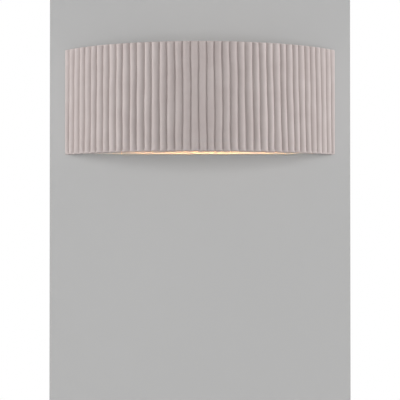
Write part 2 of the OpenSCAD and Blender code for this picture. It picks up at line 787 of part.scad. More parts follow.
module earth_washer() {
    teeth = 10;
    color([0.75, 0.75, 0.76]) on_tray(-earth_x, tray_d, block_z) difference() {
        cylinder(r = earth_tag_r, h = earth_tag_t);
        translate([0, 0, -cut]) cylinder(r = earth_screw_r + fit, h = earth_tag_t + 2 * cut);
        for (i = [0 : teeth - 1]) rotate(i * 360 / teeth)
            translate([earth_tag_r, 0, -cut]) cylinder(r = earth_tag_r / teeth, h = earth_tag_t + 2 * cut);
    }
}

// Ring tag with a crimped sleeve that points to the terminal block
module earth_tag() {
    color([0.75, 0.75, 0.76]) translate([-earth_x, -tray_d - earth_tag_t, block_z]) {
        difference() {
            union() {
                rotate([90, 0, 0]) cylinder(r = earth_tag_r, h = earth_tag_t);
                translate([0, -earth_tag_t, -1.5]) cube([tag_neck, earth_tag_t, 3]);
            }
            translate([0, cut, 0]) rotate([90, 0, 0])
                cylinder(r = earth_screw_r + fit, h = earth_tag_t + 2 * cut);
        }
        translate([tag_neck - 1, -tag_sleeve_r, 0]) rotate([0, 90, 0])
            ring(tag_sleeve_r, wire_r + fit, tag_sleeve_len);
    }
}

// Smooth path through the points: each span is a cubic with the neighbours' slope
function path_point(p, i, u) = let (
        a = p[max(i - 1, 0)], b = p[i], c = p[i + 1], d = p[min(i + 2, len(p) - 1)])
    0.5 * (2 * b + (c - a) * u + (2 * a - 5 * b + 4 * c - d) * u * u
        + (3 * b - a - 3 * c + d) * u * u * u);
function smooth_path(p, steps) = concat(
    [for (i = [0 : len(p) - 2], s = [0 : steps - 1]) path_point(p, i, s / steps)],
    [p[len(p) - 1]]);
function unit(v) = v / norm(v);
function heading(q, i) = unit(q[min(i + 1, len(q) - 1)] - q[max(i - 1, 0)]);

// Sides of the tube are carried along without twist, each ring from the one before
function carried(v, dir) = unit(v - (v * dir) * dir);
function sides(q, i = 0, v = [0, 1, 0.01]) = let (now = carried(v, heading(q, i)))
    i == len(q) - 1 ? [now] : concat([now], sides(q, i + 1, now));

module wire_tube(points, r) {
    around = 8;
    q = smooth_path(points, 4);
    n = len(q);
    side = sides(q);
    rings = [for (i = [0 : n - 1], j = [0 : around - 1])
        let (across = cross(heading(q, i), side[i]))
        q[i] + r * (side[i] * cos(360 * j / around) + across * sin(360 * j / around))];
    skin = [for (i = [0 : n - 2], j = [0 : around - 1])
        let (a = i * around + j, b = i * around + (j + 1) % around)
        each [[a, b, b + around], [a, b + around, a + around]]];
    ends = [for (j = [1 : around - 2])
        each [[0, j + 1, j], [(n - 1) * around, (n - 1) * around + j, (n - 1) * around + j + 1]]];
    polyhedron(points = rings, faces = [for (f = concat(skin, ends)) [f[2], f[1], f[0]]]);
}

// Bared conductor inside a terminal, from the block's left face inwards
module bared_end(pole) {
    translate(block_face(pole)) rotate([0, 90, 0]) cylinder(r = 0.6, h = block_len / 2 - 1);
}

// Where the wires are held: the block's left face, the tag's sleeve, the mouth of the nipple
// and the back of the insert
function block_face(pole) = [-block_x - block_len / 2, barrel_y, block_z + pole * pole_pitch];
tag_mouth = [tag_neck + tag_sleeve_len - 1 - earth_x, -tray_d - earth_tag_t - tag_sleeve_r, block_z];
nipple_mouth = [-bracket_x - sheet_t - nipple_out, axis_y, 0];
insert_back = [insert_z - bracket_x, axis_y, 0];

// From the block, round the holder's end and through the nipple to the insert
live_route = concat(
    [for (p = [[2, 0, 0], [-1, 0, 0], [-10, 1, 0], [-28, 1, 0], [-44, 1, -3], [-56, -1, -11]])
        block_face(1) + p],
    [for (p = [[8, 23, 38], [5, 15, 27], [2, 7, 16], [-3, 2, 8.5], [-6.5, 0, 4], [-5, 0, 1.8],
        [0, 0, 1.3], [8, 0, 1.3]]) nipple_mouth + p],
    [for (p = [[-11, 0, 1.5], [-6, 0, 3.5], [-1, 0, wire_hole_z], [3, 0, wire_hole_z]])
        insert_back + p]);
neutral_route = concat(
    [for (p = [[2, 0, 0], [-1, 0, 0], [-10, 1, 0], [-28, 1, -1], [-44, 1, -6], [-58, -1, -15]])
        block_face(-1) + p],
    [for (p = [[5, 22, 16], [-1, 14, 6], [-5, 6, -1], [-6, 2, -3], [-3, 0, -2], [3, 0, -1.3],
        [9, 0, -1.3]]) nipple_mouth + p],
    [for (p = [[-11, 0, -1.5], [-6, 0, -3.5], [-1, 0, -wire_hole_z], [3, 0, -wire_hole_z]])
        insert_back + p]);
earth_route = concat(
    [for (p = [[-0.5, 0, 0], [2, -0.1, 0]]) tag_mouth + p],
    [for (p = [[-8, 2.4, 0], [-4, 0.4, 0], [-1, 0, 0], [2, 0, 0]]) block_face(0) + p]);

module live_wire() {
    color([0.45, 0.28, 0.18]) {
        wire_tube(live_route, wire_r);
        bared_end(1);
    }
}

module neutral_wire() {
    color([0.2, 0.35, 0.7]) {
        wire_tube(neutral_route, wire_r);
        bared_end(-1);
    }
}

module earth_wire() {
    color([0.35, 0.6, 0.25]) {
        wire_tube(earth_route, wire_r);
        bared_end(0);
    }
}

ceramic_shade();
shade_washers();
thumb_nut_left();
thumb_nut_right();
back_tray();
shade_studs();
cushion_washers();
cable_grommet();
holder_bracket();
bracket_rivets();
holder_nipple();
nipple_nut();
lock_washer();
lampholder_cap();
lampholder_insert();
lampholder_skirt();
thread_shell();
centre_contact();
contact_screws();
terminal_block();
terminal_barrels();
terminal_screws();
block_screws();
earth_screw();
earth_washer();
earth_tag();
live_wire();
neutral_wire();
earth_wire();
lamp_contact();
lamp_insulator();
lamp_cap();
lamp_collar();
lamp_globe();
led_board();
led_chips();
driver_board();
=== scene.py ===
import json
import math
import bpy
import numpy as np
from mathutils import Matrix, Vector

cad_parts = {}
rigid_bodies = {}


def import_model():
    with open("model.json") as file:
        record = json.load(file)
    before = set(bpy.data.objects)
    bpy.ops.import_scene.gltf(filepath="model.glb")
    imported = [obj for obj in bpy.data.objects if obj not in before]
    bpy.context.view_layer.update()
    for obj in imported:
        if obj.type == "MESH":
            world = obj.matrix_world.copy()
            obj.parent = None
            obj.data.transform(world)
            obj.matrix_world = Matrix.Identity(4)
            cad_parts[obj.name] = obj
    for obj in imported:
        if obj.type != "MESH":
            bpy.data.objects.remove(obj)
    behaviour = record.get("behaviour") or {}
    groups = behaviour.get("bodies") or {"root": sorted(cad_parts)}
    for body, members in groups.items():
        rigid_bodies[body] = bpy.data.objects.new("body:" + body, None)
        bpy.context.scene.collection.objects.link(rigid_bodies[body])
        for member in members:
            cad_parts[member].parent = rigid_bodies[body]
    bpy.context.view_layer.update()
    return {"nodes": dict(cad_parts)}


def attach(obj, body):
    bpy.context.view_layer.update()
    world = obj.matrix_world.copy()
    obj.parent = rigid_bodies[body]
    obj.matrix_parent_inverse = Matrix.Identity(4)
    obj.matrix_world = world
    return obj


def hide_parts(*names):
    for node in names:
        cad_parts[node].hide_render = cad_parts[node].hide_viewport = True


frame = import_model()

scene = bpy.context.scene
scene.view_settings.view_transform = "Standard"
nodes = frame["nodes"]
mm = 0.001


def fromHex(code):
    # sRGB hex to the linear colour that shaders work in
    parts = [int(code[i:i + 2], 16) / 255 for i in (0, 2, 4)]
    return [p / 12.92 if p <= 0.04045 else ((p + 0.055) / 1.055) ** 2.4 for p in parts] + [1.0]


def addNode(material, kind, inputs=None, **settings):
    # one shader node with its settings; each input is a value or another node's output
    node = material.node_tree.nodes.new("ShaderNode" + kind)
    for name, value in settings.items():
        if name == "stops":
            ends = node.color_ramp.elements
            ends[0].position, ends[1].position = value[0][0], value[-1][0]
            for place, _ in value[1:-1]:
                ends.new(place)
            for element, (_, colour) in zip(ends, value):
                element.color = colour
        else:
            setattr(node, name, value)
    for name, value in (inputs or {}).items():
        if isinstance(value, bpy.types.NodeSocket):
            material.node_tree.links.new(value, node.inputs[name])
        else:
            node.inputs[name].default_value = value
    return node


def newMaterial(name, **finish):
    # a Principled surface with plain values on its own sockets
    material = bpy.data.materials.new(name)
    material.use_nodes = True
    surface = material.node_tree.nodes["Principled BSDF"]
    for socket, value in finish.items():
        surface.inputs[socket.replace("_", " ")].default_value = value
    return material, surface


def deselectAll():
    if bpy.context.object and bpy.context.object.mode != "OBJECT":
        bpy.ops.object.mode_set(mode="OBJECT")
    bpy.ops.object.select_all(action="DESELECT")


def editMode(on=True):
    bpy.ops.object.mode_set(mode="EDIT" if on else "OBJECT")


def applyModifiers(piece):
    bpy.context.view_layer.objects.active = piece
    for modifier in list(piece.modifiers):
        bpy.ops.object.modifier_apply(modifier=modifier.name)


def bakePlace(piece):
    # the piece's place goes into its mesh, and its object back to the origin
    deselectAll()
    piece.select_set(True)
    bpy.context.view_layer.objects.active = piece
    bpy.ops.object.transform_apply(location=True, rotation=True, scale=True)


# the camera stands as far off as the photographer did, a little below the light
cameraStyle = {"place": (0, -1.806, -0.153), "target": (0, 0, -0.1305), "lens": 121.9, "sensor": 36}

cameraData = bpy.data.cameras.new("photoCamera")
cameraData.lens, cameraData.sensor_width = cameraStyle["lens"], cameraStyle["sensor"]
camera = bpy.data.objects.new("photoCamera", cameraData)
scene.collection.objects.link(camera)
camera.location = cameraStyle["place"]
sight = Vector(cameraStyle["target"]) - Vector(cameraStyle["place"])
camera.rotation_euler = sight.to_track_quat("-Z", "Y").to_euler()
scene.camera = camera
print("camera placed")


# what all patterns share: between which noise values the colour and the gloss change, how rough the
# noise is, and a thread's depth as a share of its pitch
patternStyle = {"toneFrom": 0.32, "toneTo": 0.68, "glossFrom": 0.3, "glossTo": 0.7,
                "patchNoise": {"Detail": 3, "Roughness": 0.55},
                "grainNoise": {"Detail": 4, "Roughness": 0.6}, "threadDepth": 0.3, "edgeSamples": 4}


def surfacePattern(material, surface, style):
    # mottled colour, uneven gloss and a fine relief, each with its own size in millimetres
    place = addNode(material, "TexCoord").outputs["Object"]
    if style.get("stretch"):
        place = addNode(material, "Mapping", {"Vector": place, "Scale": style["stretch"]}).outputs[0]
    patch = addNode(material, "TexNoise", {"Vector": place, "Scale": 1000 / style["patchMm"],
                                           **patternStyle["patchNoise"]})
    tone = addNode(material, "ValToRGB", {"Fac": patch.outputs["Fac"]},
                   stops=[(patternStyle["toneFrom"], fromHex(style["dark"])),
                          (patternStyle["toneTo"], fromHex(style["light"]))])
    grain = addNode(material, "TexNoise", {"Vector": place, "Scale": 1000 / style["grainMm"],
                                           **patternStyle["grainNoise"]})
    gloss = addNode(material, "MapRange", {
        "Value": grain.outputs["Fac"], "To Min": style["rough"][0], "To Max": style["rough"][1],
        "From Min": patternStyle["glossFrom"], "From Max": patternStyle["glossTo"]})
    relief = addNode(material, "Bump", {"Height": grain.outputs["Fac"], "Strength": 1.0,
                                        "Distance": style["reliefMm"] * mm})
    links = material.node_tree.links
    lowest = relief
    if style.get("threadMm"):    # a screw thread; the wave repeats every tau / 20 of its own units
        pitch = style["threadMm"] * mm
        turns = addNode(material, "TexWave", {"Vector": place, "Scale": math.tau / 20 / pitch},
                        bands_direction=style["threadAlong"], wave_profile="SIN")
        lowest = addNode(material, "Bump", {"Height": turns.outputs["Fac"], "Strength": 1.0,
                                            "Distance": patternStyle["threadDepth"] * pitch})
        links.new(lowest.outputs["Normal"], relief.inputs["Normal"])
    if style.get("edgeMm"):    # edges look rounded over, as moulded, plated and coated ones are
        edge = addNode(material, "Bevel", {"Radius": style["edgeMm"] * mm},
                       samples=patternStyle["edgeSamples"])
        links.new(edge.outputs["Normal"], lowest.inputs["Normal"])
    links.new(tone.outputs["Color"], surface.inputs["Base Color"])
    links.new(gloss.outputs["Result"], surface.inputs["Roughness"])
    links.new(relief.outputs["Normal"], surface.inputs["Normal"])
    return {"place": place, "tone": tone, "relief": relief}


def makeBisque():
    # bisque-fired slip-cast stoneware: dry and matt, a warm pinkish off-white, with painted shade darkening
    # the grooves
    style = {"dark": "b8adab", "light": "beb4b2", "patchMm": 26, "grainMm": 0.7, "reliefMm": 0.04,
             "rough": (0.78, 0.92), "paintedGrooveShade": "a3978f", "paintedShadeFrom": 0.55, "paintedShadeShare": 0.1,
             "waveMm": 11, "waveReliefMm": 0.05}
    material, surface = newMaterial("bisqueSlipCastClay", IOR=1.5, Specular_IOR_Level=0.25)
    made = surfacePattern(material, surface, style)
    links = material.node_tree.links
    # painted shade: the colour darkens towards the bottom of each groove, where shade falls
    groove = addNode(material, "Attribute", attribute_name="groove")
    depth = addNode(material, "MapRange", {"Value": groove.outputs["Fac"], "From Min": style["paintedShadeFrom"],
                                           "From Max": 1.0, "To Min": 0.0, "To Max": style["paintedShadeShare"]})
    mix = addNode(material, "MixRGB", {"Color1": made["tone"].outputs["Color"],
                                       "Color2": fromHex(style["paintedGrooveShade"]),
                                       "Fac": depth.outputs["Result"]})
    links.new(mix.outputs["Color"], surface.inputs["Base Color"])
    # the slow unevenness that a fired cast keeps
    wave = addNode(material, "TexNoise", {"Vector": made["place"], "Scale": 1000 / style["waveMm"],
                                          "Detail": 1})
    slow = addNode(material, "Bump", {"Height": wave.outputs["Fac"], "Strength": 1.0,
                                      "Distance": style["waveReliefMm"] * mm,
                                      "Normal": made["relief"].outputs["Normal"]})
    links.new(slow.outputs["Normal"], surface.inputs["Normal"])
    return material


def makeSimple(name, style, **finish):
    material, surface = newMaterial(name, **finish)
    surfacePattern(material, surface, style)
    return material


bisque = makeBisque()

# powder coat on pressed steel: soft white with the faint orange peel of melted powder
powderCoat = makeSimple("powderCoatedSteel", {
    "dark": "e6e4df", "light": "eeece8", "patchMm": 40, "grainMm": 1.6, "reliefMm": 0.03,
    "rough": (0.40, 0.52), "edgeMm": 0.5}, IOR=1.5)
# bright zinc plate, passivated: blue-grey metal with cloudy patches
zincStyle = {"dark": "a3a7ad", "light": "c3c5c6", "patchMm": 5, "grainMm": 0.5, "reliefMm": 0.01,
             "rough": (0.30, 0.46), "edgeMm": 0.2}
zincPlate = makeSimple("zincPlatedSteel", zincStyle, Metallic=1.0)
# the same plate on rolled thread
zincThread = makeSimple("zincPlatedThread", {**zincStyle, "threadMm": 0.8, "threadAlong": "Z"}, Metallic=1.0)
# bright nickel plate: warm, smoother and glossier than the zinc
nickelPlate = makeSimple("nickelPlate", {
    "dark": "bdb8ae", "light": "d2cec6", "patchMm": 4, "grainMm": 0.4, "reliefMm": 0.006,
    "rough": (0.16, 0.28), "edgeMm": 0.2}, Metallic=1.0)
# free-cutting brass as it leaves the lathe: yellow, with fine rings round it
brassStyle = {"dark": "b08a3e", "light": "cfa95a", "patchMm": 3, "grainMm": 0.35, "reliefMm": 0.01,
              "rough": (0.22, 0.36), "stretch": (6, 1, 1), "edgeMm": 0.2}
turnedBrass = makeSimple("turnedBrass", brassStyle, Metallic=1.0)
# the hollow nipple's fine thread, cut all along it
threadedBrass = makeSimple("threadedBrass", {
    **brassStyle, "stretch": None, "threadMm": 1.0, "threadAlong": "X"}, Metallic=1.0)
# moulded silicone: milky and soft to the eye
silicone = makeSimple("mouldedSilicone", {
    "dark": "c9c7c1", "light": "dad8d2", "patchMm": 6, "grainMm": 0.5, "reliefMm": 0.02,
    "rough": (0.45, 0.6), "edgeMm": 0.5}, IOR=1.43, Subsurface_Weight=0.15,
    Subsurface_Radius=(0.002, 0.002, 0.002))
# moulded rubber: deep grey, dull
rubber = makeSimple("mouldedRubber", {
    "dark": "1b1b1c", "light": "29292a", "patchMm": 8, "grainMm": 0.6, "reliefMm": 0.04,
    "rough": (0.55, 0.75), "edgeMm": 0.5}, IOR=1.52)
# moulded thermoplastic: even, slightly warm white with a spark-eroded texture
thermoplastic = makeSimple("mouldedThermoplastic", {
    "dark": "e2dfd7", "light": "e9e7e1", "patchMm": 30, "grainMm": 0.45, "reliefMm": 0.012,
    "rough": (0.32, 0.44), "edgeMm": 0.5}, IOR=1.5)
# the lamp's own plastic: whiter and a little glossier
lampPlastic = makeSimple("mouldedLampPlastic", {
    "dark": "e8e7e4", "light": "f0efec", "patchMm": 30, "grainMm": 0.4, "reliefMm": 0.008,
    "rough": (0.30, 0.38), "edgeMm": 0.4}, IOR=1.5)
# glazed steatite: creamy, with a wet gloss over a slightly wavy body
steatite = makeSimple("glazedSteatite", {
    "dark": "ddd5c6", "light": "ebe5d9", "patchMm": 9, "grainMm": 2.5, "reliefMm": 0.03,
    "rough": (0.10, 0.18), "edgeMm": 0.8}, IOR=1.52, Coat_Weight=0.5, Coat_Roughness=0.05)
# extruded PVC insulation: even colour, smooth, with a soft shine along the wire
pvcStyle = {"patchMm": 12, "grainMm": 0.5, "reliefMm": 0.006, "rough": (0.30, 0.42)}
brownPvc = makeSimple("brownPvcInsulation", {**pvcStyle, "dark": "4e2f1c", "light": "60402a"}, IOR=1.53)
bluePvc = makeSimple("bluePvcInsulation", {**pvcStyle, "dark": "1d4b96", "light": "2b61b2"}, IOR=1.53)
# black glass poured between the lamp's contact and its shell: near-black, wet and slightly rippled
blackGlass = makeSimple("blackVitriteGlass", {
    "dark": "0b0b0e", "light": "17161c", "patchMm": 3, "grainMm": 1.5, "reliefMm": 0.02,
    "rough": (0.06, 0.14)}, IOR=1.52)
# cast resin with phosphor powder: strong yellow, fine-grained
phosphor = makeSimple("phosphorResin", {
    "dark": "d9b52c", "light": "eacb4a", "patchMm": 0.8, "grainMm": 0.2, "reliefMm": 0.01,
    "rough": (0.4, 0.6)}, IOR=1.5)
# stripped copper wire: pink-brown metal, brightest where it was drawn
copper = makeSimple("bareCopper", {
    "dark": "a8603a", "light": "c77b4e", "patchMm": 2, "grainMm": 0.2, "reliefMm": 0.01,
    "rough": (0.25, 0.4)}, Metallic=1.0)


def makeEarthPvc():
    # earth lead: green insulation with one yellow stripe along it, at the height of the wire's middle
    style = {**pvcStyle, "dark": "2a7330", "light": "35883b", "stripe": "e0c21a", "middleMm": 50,
             "halfMm": 0.5}
    material, surface = newMaterial("greenYellowPvcInsulation", IOR=1.53)
    made = surfacePattern(material, surface, style)
    axes = addNode(material, "SeparateXYZ", {"Vector": made["place"]})
    off = addNode(material, "Math", {0: axes.outputs["Z"], 1: style["middleMm"] * mm}, operation="SUBTRACT")
    far = addNode(material, "Math", {0: off.outputs[0]}, operation="ABSOLUTE")
    inside = addNode(material, "Math", {0: far.outputs[0], 1: style["halfMm"] * mm}, operation="LESS_THAN")
    mix = addNode(material, "MixRGB", {"Fac": inside.outputs[0], "Color1": made["tone"].outputs["Color"],
                                       "Color2": fromHex(style["stripe"])})
    material.node_tree.links.new(mix.outputs["Color"], surface.inputs["Base Color"])
    return material


def makeOpalGlobe():
    # opal polycarbonate, frosted inside and lit by warm chips: even light that dims towards its rim
    style = {"rim": "f0c88c", "dome": "fff0d2", "fromMm": 4, "toMm": 34, "strength": 0.75,
             "dark": "f2ece0", "light": "faf5ea", "skinFrom": 0.3, "skinTo": 0.7,
             "grainMm": 0.8, "reliefMm": 0.01}
    material, surface = newMaterial("opalPolycarbonate", IOR=1.58, Roughness=0.28,
                                    Emission_Strength=style["strength"])
    place = addNode(material, "TexCoord").outputs["Object"]
    axes = addNode(material, "SeparateXYZ", {"Vector": place})
    along = addNode(material, "MapRange", {"Value": axes.outputs["X"], "From Min": style["fromMm"] * mm,
                                           "From Max": style["toMm"] * mm, "To Min": 0.0, "To Max": 1.0})
    frost = addNode(material, "TexNoise", {"Vector": place, "Scale": 1000 / style["grainMm"], "Detail": 2})
    glow = addNode(material, "ValToRGB", {"Fac": along.outputs["Result"]},
                   stops=[(0.0, fromHex(style["rim"])), (1.0, fromHex(style["dome"]))])
    skin = addNode(material, "ValToRGB", {"Fac": frost.outputs["Fac"]},
                   stops=[(style["skinFrom"], fromHex(style["dark"])),
                          (style["skinTo"], fromHex(style["light"]))])
    relief = addNode(material, "Bump", {"Height": frost.outputs["Fac"], "Strength": 1.0,
                                        "Distance": style["reliefMm"] * mm})
    links = material.node_tree.links
    links.new(skin.outputs["Color"], surface.inputs["Base Color"])
    links.new(glow.outputs["Color"], surface.inputs["Emission Color"])
    links.new(relief.outputs["Normal"], surface.inputs["Normal"])
    return material


def makeBoard(name, style):
    # printed board: glossy solder mask over slightly raised copper tracks
    material, surface = newMaterial(name, IOR=1.5, Roughness=0.32)
    place = addNode(material, "TexCoord").outputs["Object"]
    mask = fromHex(style["mask"])
    tracks = addNode(material, "TexBrick", {"Vector": place, "Scale": 1000 / style["trackMm"],
                                            "Mortar Size": style["trackWidth"], "Color1": mask,
                                            "Color2": mask, "Mortar": fromHex(style["track"])})
    relief = addNode(material, "Bump", {"Height": tracks.outputs["Fac"], "Strength": 1.0,
                                        "Distance": style["raisedMm"] * mm})
    material.node_tree.links.new(tracks.outputs["Color"], surface.inputs["Base Color"])
    material.node_tree.links.new(relief.outputs["Normal"], surface.inputs["Normal"])
    return material


earthPvc = makeEarthPvc()
opalGlobe = makeOpalGlobe()
# trackWidth is a share of the bricks' spacing
boardStyle = {"trackWidth": 0.03, "raisedMm": 0.03}
whiteBoard = makeBoard("whiteSolderMask", {**boardStyle, "mask": "efeee8", "track": "d9d7cf", "trackMm": 9})
greenBoard = makeBoard("greenSolderMask", {**boardStyle, "mask": "1f5a34", "track": "2f7347", "trackMm": 6})

finishOf = {
    "back_tray": powderCoat,
    "shade_washers": zincPlate, "shade_studs": zincThread, "holder_bracket": zincPlate,
    "bracket_rivets": zincPlate, "lock_washer": zincPlate, "earth_washer": zincPlate,
    "thumb_nut_left": nickelPlate, "thumb_nut_right": nickelPlate, "thread_shell": nickelPlate,
    "terminal_screws": nickelPlate, "block_screws": nickelPlate, "earth_tag": nickelPlate,
    "lamp_contact": nickelPlate, "lamp_cap": nickelPlate,
    "cushion_washers": silicone, "cable_grommet": rubber,
    "holder_nipple": threadedBrass, "nipple_nut": turnedBrass, "centre_contact": turnedBrass,
    "contact_screws": turnedBrass, "terminal_barrels": turnedBrass, "earth_screw": turnedBrass,
    "lampholder_cap": thermoplastic, "lampholder_skirt": thermoplastic, "terminal_block": thermoplastic,
    "lampholder_insert": steatite, "lamp_insulator": blackGlass, "lamp_collar": lampPlastic,
    "lamp_globe": opalGlobe, "led_board": whiteBoard, "led_chips": phosphor, "driver_board": greenBoard,
}
for name, material in finishOf.items():
    for slot in nodes[name].material_slots:
        slot.material = material
print("finishes made")


shadeStyle = {
    # millimetres, as in the solid
    "halfWidth": 180, "height": 140, "depth": 95, "wallGap": 0.5,
    "grooves": 40, "grooveDepth": 3.0, "wall": 5.4,
    # degrees, as in the solid: how the groove lines stray from even spacing
    "stagger": 0.1, "drift": 0.9, "spread": 3.4, "tuck": 2,
    # millimetres by which rims, inner edges and groove bottoms are rounded, and the degrees of its steps
    "rimRound": 2.2, "innerRound": 1.5, "grooveRound": 0.3, "quarterTurn": (0, 22.5, 45, 67.5, 90),
    # the grooves run shallow at the rims: over how many millimetres, and the share left there
    "fadeTop": 2.2, "leftTop": 0.45, "fadeBottom": 4.0, "leftBottom": 0.15,
    # the share by which they are deeper at the shade's ends, and the power by which that grows
    "endDepth": 0.6, "endPower": 4,
    # the lines' lean in degrees: all over, growing to the right, and more around one place
    "lean": 0.2, "leanRight": 0.6, "leanMore": 0.4, "leanAt": 0.6, "leanReach": 0.3,
    # hand-made unevenness: a slow wobble in degrees, a quicker one, and the crests' play in millimetres
    "wobble": 0.085, "wobbleMm": 118, "quickShare": 0.4, "quickMm": 51, "crestPlay": 0.12, "seed": 11,
    # rows of the face, those close to the rims, and rows of the inner side
    "faceRows": 30, "faceInset": 3, "closeRows": (1, 2), "innerRows": (40, 15, -15, -40),
    # columns inside a pleat, closer together beside its grooves
    "steps": (0, 0.03, 0.07, 0.12, 0.19, 0.27, 0.35, 0.43, 0.5, 0.57, 0.65, 0.73, 0.81, 0.88, 0.93, 0.97),
    # mesh spots closer than this many millimetres become one; edges under so many degrees look smooth
    "weld": 0.001, "smoothAngle": 40,
}


def buildShade(style):
    halfHeight = style["height"] / 2
    crestR = (style["halfWidth"] ** 2 + style["depth"] ** 2) / (2 * style["depth"])
    arcY = crestR - style["depth"] - style["wallGap"]
    halfAngle = math.degrees(math.acos((crestR - style["depth"]) / crestR))
    grooveR = crestR - style["grooveDepth"]
    innerR = grooveR - style["wall"]
    innerHalf = math.degrees(math.acos((crestR - style["depth"]) / innerR))
    count = style["grooves"]

    # section of the wall as a closed loop: share of the wall's thickness, millimetres inwards, height
    arc = [math.radians(a) for a in style["quarterTurn"]]
    rim, inner = style["rimRound"], style["innerRound"]
    edge = halfHeight - rim
    face = np.linspace(style["faceInset"] - edge, edge - style["faceInset"], style["faceRows"])
    loop = [(0, rim * (1 - math.sin(a)), -halfHeight + rim * (1 - math.cos(a))) for a in arc]
    loop += [(0, 0, gap - edge) for gap in style["closeRows"]]
    loop += [(0, 0, z) for z in face]
    loop += [(0, 0, edge - gap) for gap in reversed(style["closeRows"])]
    loop += [(0, rim * (1 - math.cos(a)), halfHeight - rim * (1 - math.sin(a))) for a in arc]
    loop += [(0.5, 0, halfHeight)]
    loop += [(1, -inner * (1 - math.sin(a)), halfHeight - inner * (1 - math.cos(a))) for a in arc]
    loop += [(1, 0, z) for z in style["innerRows"]]
    loop += [(1, -inner * (1 - math.cos(a)), -halfHeight + inner * (1 - math.sin(a))) for a in arc]
    loop += [(0.5, 0, -halfHeight)]
    loop += loop[:1]
    share, inward, height = (np.array(v) for v in zip(*loop))

    # columns: which pleat each is in, and where in it; the two end pleats are halves
    steps = np.array(style["steps"])
    pleat, part = np.repeat(np.arange(count + 1), len(steps)), np.tile(steps, count + 1)
    keep = ~((pleat == 0) & (part < 0.5)) & ~((pleat == count) & (part > 0.5))
    pleat, part = pleat[keep], part[keep]

    # groove lines as angles; across goes from -1 at the left end to 1 at the right
    rng = np.random.RandomState(style["seed"])
    groove = np.arange(count + 2)
    across = (2 * groove - count - 1) / count
    stray = (style["drift"] - style["tuck"] * across - style["spread"] * across ** 3) * (1 - across ** 2)
    swing = style["stagger"] * np.where(groove % 2 == 0, 1, -1) * np.sin(np.pi * np.abs(across))
    lean = style["lean"] + style["leanRight"] * across \
        + style["leanMore"] * np.exp(-((across - style["leanAt"]) / style["leanReach"]) ** 2)
    slowPhase, quickPhase = rng.uniform(0, math.tau, (2, count + 2))
    z = height[:, None]
    slow = np.sin(math.tau * z / style["wobbleMm"] + slowPhase)
    quick = np.sin(math.tau * z / style["quickMm"] + quickPhase)
    line = halfAngle * across + stray - swing - lean * z / style["height"] \
        + style["wobble"] * (slow + style["quickShare"] * quick)
    # the first and the last lie past the ends, as far as their neighbours lie before them
    line[:, 0] = -2 * halfAngle - line[:, 1]
    line[:, -1] = 2 * halfAngle - line[:, -2]

    # each pleat is an arc through its two grooves and its crest
    left, right = line[:, pleat], line[:, pleat + 1]
    angle = left + (right - left) * part
    width = np.radians(right - left)
    play = np.where((pleat > 0) & (pleat < count), rng.uniform(-1, 0, count + 1)[pleat], 0)
    crest = crestR + play * style["crestPlay"]
    halfChord = grooveR * np.sin(width / 2)
    rise = crest - grooveR * np.cos(width / 2)
    radius = (halfChord ** 2 + rise ** 2) / (2 * rise)
    off = np.radians(angle) - np.radians(left + right) / 2
    centre = crest - radius
    outer = centre * np.cos(off) + np.sqrt(np.maximum(radius ** 2 - (centre * np.sin(off)) ** 2, 0))
    # the share of the depth that is left near the rims
    high = np.clip((halfHeight - z) / style["fadeTop"], 0, 1)
    low = np.clip((z + halfHeight) / style["fadeBottom"], 0, 1)
    fade = (style["leftTop"] + (1 - style["leftTop"]) * high * (2 - high)) \
        * (style["leftBottom"] + (1 - style["leftBottom"]) * low * (2 - low))
    # how far each spot lies below its crest; the groove bottoms are rounded
    soft, deepest = style["grooveRound"], style["grooveDepth"]
    deeper = 1 + style["endDepth"] * np.abs(angle / halfAngle) ** style["endPower"]
    rounded = np.sqrt((deepest - crest + outer) ** 2 + soft ** 2) - soft ** 2 / (2 * deepest)
    depth = (deepest - rounded) * fade * deeper
    outer = crest - depth

    # x and y of every spot, on the way from the face to the inner side
    outerTurn, innerTurn = np.radians(angle), np.radians(angle * innerHalf / halfAngle)
    onFace = np.stack([outer * np.sin(outerTurn), arcY - outer * np.cos(outerTurn)], -1)
    onInner = np.stack([innerR * np.sin(innerTurn), arcY - innerR * np.cos(innerTurn)], -1)
    through = onInner - onFace
    thickness = np.linalg.norm(through, axis=-1, keepdims=True)
    flat = onFace + through * share[:, None, None] + through / thickness * inward[:, None, None]

    # a grid, its rows wrapped round the wall's section and its columns laid along the arc
    columns, rows = len(pleat) - 1, len(loop) - 1
    deselectAll()
    bpy.ops.mesh.primitive_grid_add(x_subdivisions=columns, y_subdivisions=rows, size=1)
    shade = bpy.context.object
    shade.name = shade.data.name = "pleated_shade"
    spots = np.zeros(len(shade.data.vertices) * 3)
    shade.data.vertices.foreach_get("co", spots)
    spots = spots.reshape(-1, 3)
    column = np.rint((spots[:, 0] + 0.5) * columns).astype(int)
    row = np.rint((spots[:, 1] + 0.5) * rows).astype(int)
    spots[:, :2], spots[:, 2] = flat[row, column], height[row]
    shade.data.vertices.foreach_set("co", (spots * mm).ravel())
    # how deep in a groove each spot of the face is, for the shade painted into the clay's grooves
    filled = np.where(share[:, None] == 0, depth / style["grooveDepth"], 0)[row, column]
    shade.data.attributes.new("groove", "FLOAT", "POINT")
    shade.data.attributes["groove"].data.foreach_set("value", filled.astype(np.float32))
    editMode()
    bpy.ops.mesh.select_all(action="SELECT")
    bpy.ops.mesh.remove_doubles(threshold=style["weld"] * mm)
    bpy.ops.mesh.fill_holes(sides=0)
    bpy.ops.mesh.select_all(action="SELECT")
    bpy.ops.mesh.normals_make_consistent(inside=False)
    editMode(False)
    bpy.ops.object.shade_smooth_by_angle(angle=math.radians(style["smoothAngle"]))
    return shade, {"innerR": innerR, "arcY": arcY}


